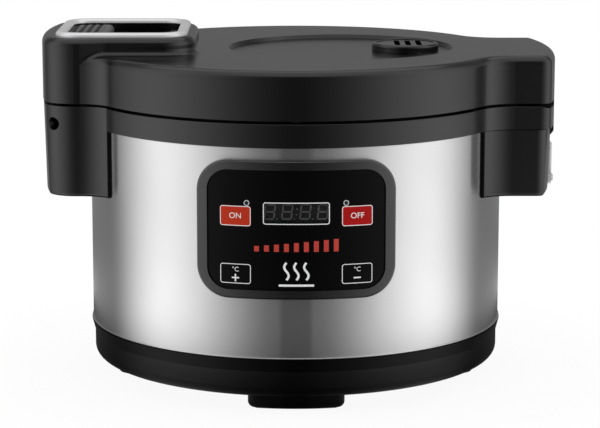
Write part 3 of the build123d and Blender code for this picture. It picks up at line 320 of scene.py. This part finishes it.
finishes = {
    "black_plastic": dict(level=BLACK, rough=(0.16, 0.25), grain=2600.0, Specular_IOR_Level=0.58),
    "bezel_black": dict(level=BLACK, rough=(0.16, 0.25), grain=2600.0, Specular_IOR_Level=1.0),
    "drum_steel": dict(
        level=(0.63, 0.63, 0.63), share=0.05, rough=(0.17, 0.23), metal=1.0, mottle=6.0, grain=1.0,
        depth=0.004, stretch=DRUM_STREAK, Anisotropic=1.0, Anisotropic_Rotation=0.25),
    "foot_rubber": dict(level=(0.012, 0.012, 0.012), rough=(0.7, 0.85), grain=900.0),
    "bright_trim": dict(
        level=(0.72, 0.72, 0.73), share=0.04, rough=(0.2, 0.28), metal=0.3, grain=2200.0, depth=0.004),
    "button_grey": dict(
        level=(0.1, 0.1, 0.102), rough=(0.34, 0.46), grain=2200.0, Specular_IOR_Level=0.06),
    "panel_black": dict(
        level=PANEL_TONE, rough=(0.24, 0.32), grain=500.0, depth=0.004, Specular_IOR_Level=0.1),
    "key_black": dict(
        level=PANEL_TONE, rough=(0.24, 0.32), grain=500.0, depth=0.004, Specular_IOR_Level=0.1),
    "key_red": dict(
        level=(0.46, 0.028, 0.0066), share=0.05, rough=(0.26, 0.36), grain=500.0, depth=0.004,
        Specular_IOR_Level=0.15),
    "key_crimson": dict(
        level=(0.36, 0.002, 0.002), share=0.05, rough=(0.26, 0.36), grain=500.0, depth=0.004,
        Specular_IOR_Level=0.15),
    "display_clear": dict(
        level=(0.006, 0.006, 0.007), rough=(0.06, 0.1), grain=300.0, depth=0.002, Alpha=0.22),
    "dew_clear": dict(level=(0.3, 0.31, 0.31), rough=(0.25, 0.4), grain=700.0, depth=0.01, Alpha=0.4),
    "lens_clear": dict(level=(0.012, 0.012, 0.013), rough=(0.08, 0.14), grain=600.0, depth=0.004),
    "zinc_steel": dict(level=(0.52, 0.53, 0.54), rough=(0.3, 0.42), metal=1.0, grain=1600.0),
    "screw_black": dict(level=(0.016, 0.016, 0.017), rough=(0.35, 0.46), grain=1600.0),
    "spring_steel": dict(level=(0.46, 0.46, 0.47), rough=(0.25, 0.34), metal=1.0, grain=3000.0),
    "pot_aluminium": dict(
        level=(0.6, 0.6, 0.61), share=0.05, rough=(0.24, 0.34), metal=1.0, grain=1.0, depth=0.006,
        stretch=SHEET_STREAK),
    "cast_aluminium": dict(level=(0.5, 0.5, 0.51), rough=(0.45, 0.6), metal=1.0, grain=1300.0, depth=0.06),
    "sheet_aluminium": dict(
        level=(0.63, 0.63, 0.64), share=0.05, rough=(0.28, 0.38), metal=1.0, grain=1.0, depth=0.004,
        stretch=SHEET_STREAK),
    "silicone": dict(level=(0.03, 0.03, 0.031), share=0.08, rough=(0.45, 0.58), grain=900.0),
    "glass_wool": dict(
        level=(0.6, 0.57, 0.48), share=0.2, rough=(0.85, 0.95), mottle=60.0, grain=1100.0, depth=0.6),
    "heater_mica": dict(level=(0.32, 0.25, 0.16), share=0.2, rough=(0.4, 0.6), mottle=40.0),
    "circuit_board": dict(level=(0.02, 0.13, 0.05), share=0.15, rough=(0.3, 0.42), mottle=120.0),
    "component_black": dict(level=(0.012, 0.012, 0.013), rough=(0.42, 0.55)),
    "brass_pins": dict(level=(0.66, 0.48, 0.2), share=0.06, rough=(0.2, 0.3), metal=1.0),
    "print_white": dict(level=(0.82, 0.83, 0.83), share=0.05, rough=(0.4, 0.5), grain=900.0, depth=0.003),
    "print_red": dict(level=(0.5, 0.03, 0.015), share=0.08, rough=(0.4, 0.5), grain=900.0, depth=0.003),
    "digit_grey": dict(level=(0.19, 0.19, 0.19), share=0.08, rough=(0.4, 0.5), grain=700.0, depth=0.003),
}
materials = {name: finish(name, **look) for name, look in finishes.items()}
brush_round(materials["drum_steel"])
button_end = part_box("latch_button")[1][0]
# Painted shade: the latch button's colour is darkened in the grooves between its ribs.
paint_groove_shade(materials["button_grey"], button_end - BUTTON_ROUND - BUTTON_RIB_PITCH / 2)

# Nodes whose finish differs from that of their material slot.
own_finish = {
    "lid_screws": "screw_black",
    "ear_screws": "screw_black",
    "control_bezel": "bezel_black",
    "cancel_key": "key_crimson",
}
for name, node in nodes.items():
    node.data.materials.clear()
    node.data.materials.append(materials[own_finish.get(name, slots[name])])


# Flat shapes for print, each a list of corner points and a list of faces


def stroke(path, width, closed=False):
    """Thin raised line along a path, with a rectangular section."""
    section = ((-1, 0), (1, 0), (1, PRINT_RISE), (-1, PRINT_RISE))
    sides = len(section)
    count = len(path)
    corners = []
    for index, (x, y) in enumerate(path):
        before = path[index - 1] if closed or index else path[index]
        after = path[(index + 1) % count] if closed or index < count - 1 else path[index]
        along = Vector((after[0] - before[0], after[1] - before[1])).normalized()
        across = Vector((along.y, -along.x)) * width / 2
        corners += [(x + reach * across.x, y + reach * across.y, out) for reach, out in section]
    faces = []
    for index in range(count if closed else count - 1):
        here = sides * index
        there = sides * ((index + 1) % count)
        for step in range(sides):
            ahead = (step + 1) % sides
            faces.append((here + step, here + ahead, there + ahead, there + step))
    if not closed:
        last = sides * (count - 1)
        faces += [tuple(reversed(range(sides))), tuple(range(last, last + sides))]
    return corners, faces


def patch(outline):
    """Thin raised patch inside a convex outline."""
    count = len(outline)
    corners = [(x, y, 0) for x, y in outline] + [(x, y, PRINT_RISE) for x, y in outline]
    faces = [tuple(reversed(range(count))), tuple(range(count, 2 * count))]
    for index in range(count):
        ahead = (index + 1) % count
        faces.append((index, ahead, count + ahead, count + index))
    return corners, faces


def round_rectangle(width, height, corner, step=1.0, arc_steps=6):
    """Outline of a rounded rectangle about the origin, dense enough to bend round the drum."""
    path = []
    for quarter in range(4):
        turn = math.pi / 2 * quarter
        across = (width / 2 - corner) * (1 if quarter in (0, 3) else -1)
        up = (height / 2 - corner) * (1 if quarter < 2 else -1)
        for index in range(arc_steps + 1):
            bend = turn + math.pi / 2 * index / arc_steps
            path.append((across + corner * math.cos(bend), up + corner * math.sin(bend)))
    dense = []
    for index, start in enumerate(path):
        end = path[(index + 1) % len(path)]
        count = max(1, round(math.dist(start, end) / step))
        for part in range(count):
            share = part / count
            dense.append((start[0] + (end[0] - start[0]) * share, start[1] + (end[1] - start[1]) * share))
    return dense


def ring(radius, across=0.0, up=0.0, count=28):
    """Points of a circle."""
    turns = [2 * math.pi * index / count for index in range(count)]
    return [(across + radius * math.cos(turn), up + radius * math.sin(turn)) for turn in turns]


def words(text, size, across=0.0, up=0.0):
    """Raised text, centred on a point."""
    curve = bpy.data.curves.new("words", "FONT")
    curve.body = text
    curve.size = size
    curve.align_x = "CENTER"
    curve.align_y = "CENTER"
    curve.extrude = PRINT_RISE / 2
    curve.resolution_u = WORD_STEPS
    carrier = bpy.data.objects.new("words", curve)
    scene.collection.objects.link(carrier)
    bpy.context.view_layer.update()
    mesh = bpy.data.meshes.new_from_object(carrier.evaluated_get(bpy.context.evaluated_depsgraph_get()))
    bpy.data.objects.remove(carrier)
    made = bmesh.new()
    made.from_mesh(mesh)
    bmesh.ops.remove_doubles(made, verts=made.verts, dist=size * WORD_WELD_SHARE)
    made.verts.index_update()
    shift = Vector((across, up, PRINT_RISE / 2))
    corners = [tuple(vertex.co + shift) for vertex in made.verts]
    faces = [tuple(vertex.index for vertex in face.verts) for face in made.faces]
    made.free()
    bpy.data.meshes.remove(mesh)
    return corners, faces


def segment(start, end):
    """Pointed bar of a seven-segment digit."""
    along = Vector((end[0] - start[0], end[1] - start[1]))
    way = along.normalized() * DIGIT_LINE / 2
    side = Vector((-way.y, way.x))
    first = Vector(start) + way * DIGIT_END_SHARE
    last = Vector(end) - way * DIGIT_END_SHARE
    corners = [first, first + way + side, last - way + side, last, last - way - side, first + way - side]
    return [(corner.x, corner.y) for corner in corners]


# Printed pieces on the keys, the panel and the display


def on_drum(angle, mid, radius):
    """Places (across, up, out) millimetres on the curved panel about an angle and a height."""
    turn = math.radians(angle)

    def place(across, up, out):
        ahead = math.sqrt((radius + out)**2 - across**2)
        x = math.cos(turn) * across + math.sin(turn) * ahead
        y = math.sin(turn) * across - math.cos(turn) * ahead
        return Vector((x, y, mid + up)) * MM

    return place


def on_module(mid):
    """Places (across, up, out) millimetres on the flat face of the display module."""
    def place(across, up, out):
        return Vector((across, -MODULE_FACE - out, mid + up)) * MM

    return place


def piece(name, shapes, place, body, finish_name):
    """One mesh from flat shapes that are laid on a surface; it rides on a body."""
    mesh = bmesh.new()
    for corners, faces in shapes:
        laid = [mesh.verts.new(place(*corner)) for corner in corners]
        for face in faces:
            mesh.faces.new([laid[index] for index in face])
    bmesh.ops.recalc_face_normals(mesh, faces=mesh.faces)
    data = bpy.data.meshes.new(name)
    mesh.to_mesh(data)
    mesh.free()
    data.materials.append(materials[finish_name])
    made = bpy.data.objects.new(name, data)
    scene.collection.objects.link(made)
    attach(made, body)


def minus_sign():
    """Short line in the lower half of a key."""
    return [stroke([(-SIGN_HALF, -SIGN_DROP), (SIGN_HALF, -SIGN_DROP)], SIGN_LINE)]


def plus_sign():
    """Upright line with an arm on each side, in the lower half of a key."""
    arms = [stroke([(low, -SIGN_DROP), (high, -SIGN_DROP)], SIGN_LINE)
            for low, high in ((-SIGN_HALF, -SIGN_GAP), (SIGN_GAP, SIGN_HALF))]
    return arms + [stroke([(0, -SIGN_DROP - SIGN_HALF), (0, -SIGN_DROP + SIGN_HALF)], SIGN_LINE)]


def key_print():
    """Outline and legend of each key."""
    unit = words("°C", UNIT_SIZE, 0, UNIT_RISE)
    legends = {
        "start_key": (-KEY_ANGLE, [words("ON", WORD_SIZE)]),
        "cancel_key": (KEY_ANGLE, [words("OFF", WORD_SIZE)]),
        "temp_up_key": (-KEY_ANGLE, [unit, *plus_sign()]),
        "temp_down_key": (KEY_ANGLE, [unit, *minus_sign()]),
    }
    outline = round_rectangle(KEY_WIDTH - 2 * KEY_LINE_INSET, KEY_HEIGHT - 2 * KEY_LINE_INSET,
                              KEY_CORNER - KEY_LINE_INSET)
    line = stroke(outline, KEY_LINE, closed=True)
    for name, (angle, legend) in legends.items():
        spot = on_drum(angle, middle(name), PANEL_RADIUS + KEY_PROUD)
        piece(name + "_outline", [line], spot, name, "print_white")
        piece(name + "_legend", legend, spot, name, "print_white")


def panel_lines():
    """Outline of the display and a ring round each indicator lens."""
    low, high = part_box("display_window")
    width = (high[0] - low[0]) / MM + 2 * DISPLAY_LINE_OUTSET
    height = (high[2] - low[2]) / MM + 2 * DISPLAY_LINE_OUTSET
    line = stroke(round_rectangle(width, height, DISPLAY_LINE_CORNER), DISPLAY_LINE, closed=True)
    spot = on_drum(0, DISPLAY_MID, PANEL_RADIUS)
    piece("display_outline", [line], spot, "body", "print_white")
    for side, name in ((-1, "start_lamp_ring"), (1, "cancel_lamp_ring")):
        line = stroke(ring(LENS_RING_RADIUS), LENS_RING_LINE, closed=True)
        spot = on_drum(side * LENS_ANGLE, middle("indicator_lenses"), PANEL_RADIUS)
        piece(name, [line], spot, "body", "print_white")


def display_digits():
    """Four slanted seven-segment digits with their points and a colon."""
    side = DIGIT_WIDTH / 2
    top = DIGIT_HEIGHT / 2
    bars = [((-side, up), (side, up)) for up in (top, 0, -top)]
    bars += [((across, low), (across, low + top)) for across in (-side, side) for low in (-top, 0)]
    shapes = []
    for place in DIGIT_PLACES:
        for start, end in bars:
            shapes.append(patch([(x + y * DIGIT_SLANT + place, y) for x, y in segment(start, end)]))
        shapes.append(patch(ring(POINT_RADIUS, place + side + POINT_GAP, -top, DOT_SIDES)))
    for up in (-COLON_RISE, COLON_RISE):
        shapes.append(patch(ring(COLON_RADIUS, COLON_SHIFT + up * DIGIT_SLANT, up, DOT_SIDES)))
    spot = on_module(DISPLAY_MID + DIGIT_RISE)
    piece("display_digits", shapes, spot, "body", "digit_grey")


def level_bars():
    """Row of bars that grow to the right."""
    half = LEVEL_WIDTH / 2
    shapes = []
    for step in range(LEVEL_COUNT):
        across = (step - (LEVEL_COUNT - 1) / 2) * LEVEL_PITCH
        top = LEVEL_FOOT + LEVEL_LOWEST + LEVEL_GAIN * step
        shapes.append(patch([(across - half, LEVEL_FOOT), (across + half, LEVEL_FOOT),
                             (across + half, top), (across - half, top)]))
    spot = on_drum(0, DISPLAY_MID - LEVEL_DROP, PANEL_RADIUS)
    piece("level_bars", shapes, spot, "body", "print_red")


def heat_sign():
    """Three upright waves over a bar."""
    shapes = []
    for across in WAVE_PLACES:
        path = []
        for index in range(WAVE_STEPS + 1):
            share = index / WAVE_STEPS
            swing = WAVE_SWING * math.sin(2 * math.pi * share)
            path.append((across + swing, WAVE_FOOT + WAVE_HEIGHT * share))
        shapes.append(stroke(path, HEAT_LINE))
    bar = [(across, HEAT_BAR_FOOT) for across in range(-HEAT_BAR_HALF, HEAT_BAR_HALF + 1)]
    shapes.append(stroke(bar, HEAT_LINE))
    spot = on_drum(0, DISPLAY_MID - HEAT_DROP, PANEL_RADIUS)
    piece("heat_sign", shapes, spot, "body", "print_white")


key_print()
panel_lines()
display_digits()
level_bars()
heat_sign()


# Springs, as copies of their coils that ride on a body


def pressed_spring(name, body):
    """Copy of a spring's coils that rides on a body, in place of the spring part, which is hidden."""
    coils = bpy.data.objects.new(name + "_coils", nodes[name].data.copy())
    scene.collection.objects.link(coils)
    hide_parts(name)
    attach(coils, body)
    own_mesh(coils)


pressed_spring("button_springs", "lid")
pressed_spring("sensor_spring", "body")


# Studio: world, floor, reflection cards, lamps and camera


def seen_share(tree):
    """Socket that is 1 for camera, glossy and transmission rays."""
    path = add(tree, "ShaderNodeLightPath")
    mirrored = calc(tree, "MAXIMUM", path.outputs["Is Camera Ray"], path.outputs["Is Glossy Ray"])
    return calc(tree, "MAXIMUM", mirrored, path.outputs["Is Transmission Ray"])


def mix_shaders(tree, factor, first, second, output):
    """Mix two shader nodes by a factor socket into the tree's output node."""
    mix = add(tree, "ShaderNodeMixShader")
    tree.links.new(factor, mix.inputs["Fac"])
    tree.links.new(first.outputs[0], mix.inputs[1])
    tree.links.new(second.outputs[0], mix.inputs[2])
    tree.links.new(mix.outputs[0], tree.nodes[output].inputs["Surface"])


def origin_distance(tree, where):
    """Socket of a place's distance from the origin."""
    length = add(tree, "ShaderNodeVectorMath", operation="LENGTH")
    tree.links.new(where, length.inputs[0])
    return length.outputs["Value"]


def stage_piece(name, corners, faces, material):
    """Stage object from plain points and faces."""
    data = bpy.data.meshes.new(name)
    data.from_pydata(corners, [], faces)
    data.materials.append(material)
    made = bpy.data.objects.new(name, data)
    scene.collection.objects.link(made)
    return made


def studio_world():
    """World that looks white, with a weaker fill on the object."""
    world = bpy.data.worlds.new("studio")
    scene.world = world
    world.use_nodes = True
    tree = world.node_tree
    white = tree.nodes["Background"]
    white.inputs["Color"].default_value = WHITE
    white.inputs["Strength"].default_value = 1.0
    fill = add(tree, "ShaderNodeBackground", Color=WHITE, Strength=WORLD_FILL)
    mix_shaders(tree, seen_share(tree), fill, white, "World Output")


def pale_floor():
    """Floor that looks white and keeps some of the object's shadow near it."""
    made, tree, shader = new_material("floor_pale")
    tree.nodes.remove(shader)
    matte = add(tree, "ShaderNodeBsdfDiffuse", Color=FLOOR_TONE)
    glow = add(tree, "ShaderNodeEmission", Color=WHITE, Strength=1.0)
    where = add(tree, "ShaderNodeNewGeometry").outputs["Position"]
    fade = mapped(tree, origin_distance(tree, where), interpolation_type="SMOOTHSTEP",
                  From_Min=SHADOW_NEAR, From_Max=SHADOW_FAR, To_Min=SHADOW_SHARE, To_Max=1.0)
    share = calc(tree, "MULTIPLY", fade, seen_share(tree))
    mix_shaders(tree, share, matte, glow, "Material Output")
    corners = [(x * FLOOR_HALF, y * FLOOR_HALF, 0) for x, y in ((-1, -1), (1, -1), (1, 1), (-1, 1))]
    stage_piece("floor", corners, [(0, 1, 2, 3)], made)


def card_material():
    """Glow by bearing, set so that the drum mirrors upright bands, and by distance from the drum axis."""
    made, tree, shader = new_material("graded_card")
    tree.nodes.remove(shader)
    where = add(tree, "ShaderNodeNewGeometry").outputs["Position"]
    distance = origin_distance(tree, where)
    apart = add(tree, "ShaderNodeSeparateXYZ")
    tree.links.new(where, apart.inputs[0])
    ahead = calc(tree, "MULTIPLY", apart.outputs["Y"], -1.0)
    bearing = calc(tree, "ARCTAN2", apart.outputs["X"], ahead)
    lag = calc(tree, "DIVIDE", DRUM_RADIUS / 2, distance)
    aim = calc(tree, "DIVIDE", bearing, calc(tree, "SUBTRACT", 1.0, lag))
    turn = mapped(tree, calc(tree, "ABSOLUTE", aim), From_Max=math.pi)
    turn_steps = [(angle / 180, level) for angle, level in CARD_STEPS]
    colour = ramp(tree, turn, greys(turn_steps, CARD_PEAK), "EASE")
    reach_steps = [(place / REACH_END, level) for place, level in REACH_STEPS]
    reach = ramp(tree, calc(tree, "DIVIDE", distance, REACH_END), greys(reach_steps, REACH_PEAK))
    glow = add(tree, "ShaderNodeEmission")
    tree.links.new(colour, glow.inputs["Color"])
    tree.links.new(calc(tree, "MULTIPLY", reach, CARD_PEAK * REACH_PEAK), glow.inputs["Strength"])
    tree.links.new(glow.outputs[0], tree.nodes["Material Output"].inputs["Surface"])
    return made


def reflection_cards():
    """Round card and wall that only reflections see: dark ahead and near the feet, bright at the sides."""
    bearings = [2 * math.pi * index / CARD_SIDES for index in range(CARD_SIDES)]
    rows = [(CARD_INNER, CARD_FLOOR), (CARD_RADIUS, CARD_FLOOR), (CARD_RADIUS, CARD_TOP)]
    corners = [(radius * math.sin(bearing), -radius * math.cos(bearing), height)
               for radius, height in rows for bearing in bearings]
    faces = []
    for row in range(len(rows) - 1):
        low = row * CARD_SIDES
        high = low + CARD_SIDES
        for index in range(CARD_SIDES):
            after = (index + 1) % CARD_SIDES
            faces.append((low + index, low + after, high + after, high + index))
    cards = stage_piece("cards", corners, faces, card_material())
    cards.visible_camera = False
    cards.visible_diffuse = False
    cards.visible_transmission = False
    cards.visible_shadow = False
    cards.visible_volume_scatter = False


def lamp(name, place, size, power):
    """Soft rectangular lamp that looks at the object; the cards stand for it in reflections."""
    data = bpy.data.lights.new(name, "AREA")
    data.shape = "RECTANGLE"
    data.size, data.size_y = size
    data.energy = power
    made = bpy.data.objects.new(name, data)
    made.location = place
    made.rotation_euler = (Vector(LAMP_AIM) - Vector(place)).to_track_quat("-Z", "Y").to_euler()
    made.visible_glossy = False
    scene.collection.objects.link(made)


def photo_camera():
    """Camera at the photograph's viewing angle."""
    camera = bpy.data.cameras.new("camera")
    camera.sensor_width = SENSOR_WIDTH
    camera.lens = FOCAL
    camera.shift_x = PHOTO_SHIFT / PHOTO_WIDTH
    camera.clip_end = CAMERA_REACH
    eye = bpy.data.objects.new("camera", camera)
    x = -CAMERA_DISTANCE * math.sin(CAMERA_TURN)
    y = -CAMERA_DISTANCE * math.cos(CAMERA_TURN)
    eye.location = (x, y, CAMERA_HEIGHT)
    eye.rotation_euler = (math.pi / 2 - CAMERA_PITCH, 0, -CAMERA_TURN)
    scene.collection.objects.link(eye)
    scene.camera = eye


studio_world()
pale_floor()
reflection_cards()
for name, (place, size, power) in LAMPS.items():
    lamp(name, place, size, power)
photo_camera()
scene.view_settings.view_transform = "Standard"
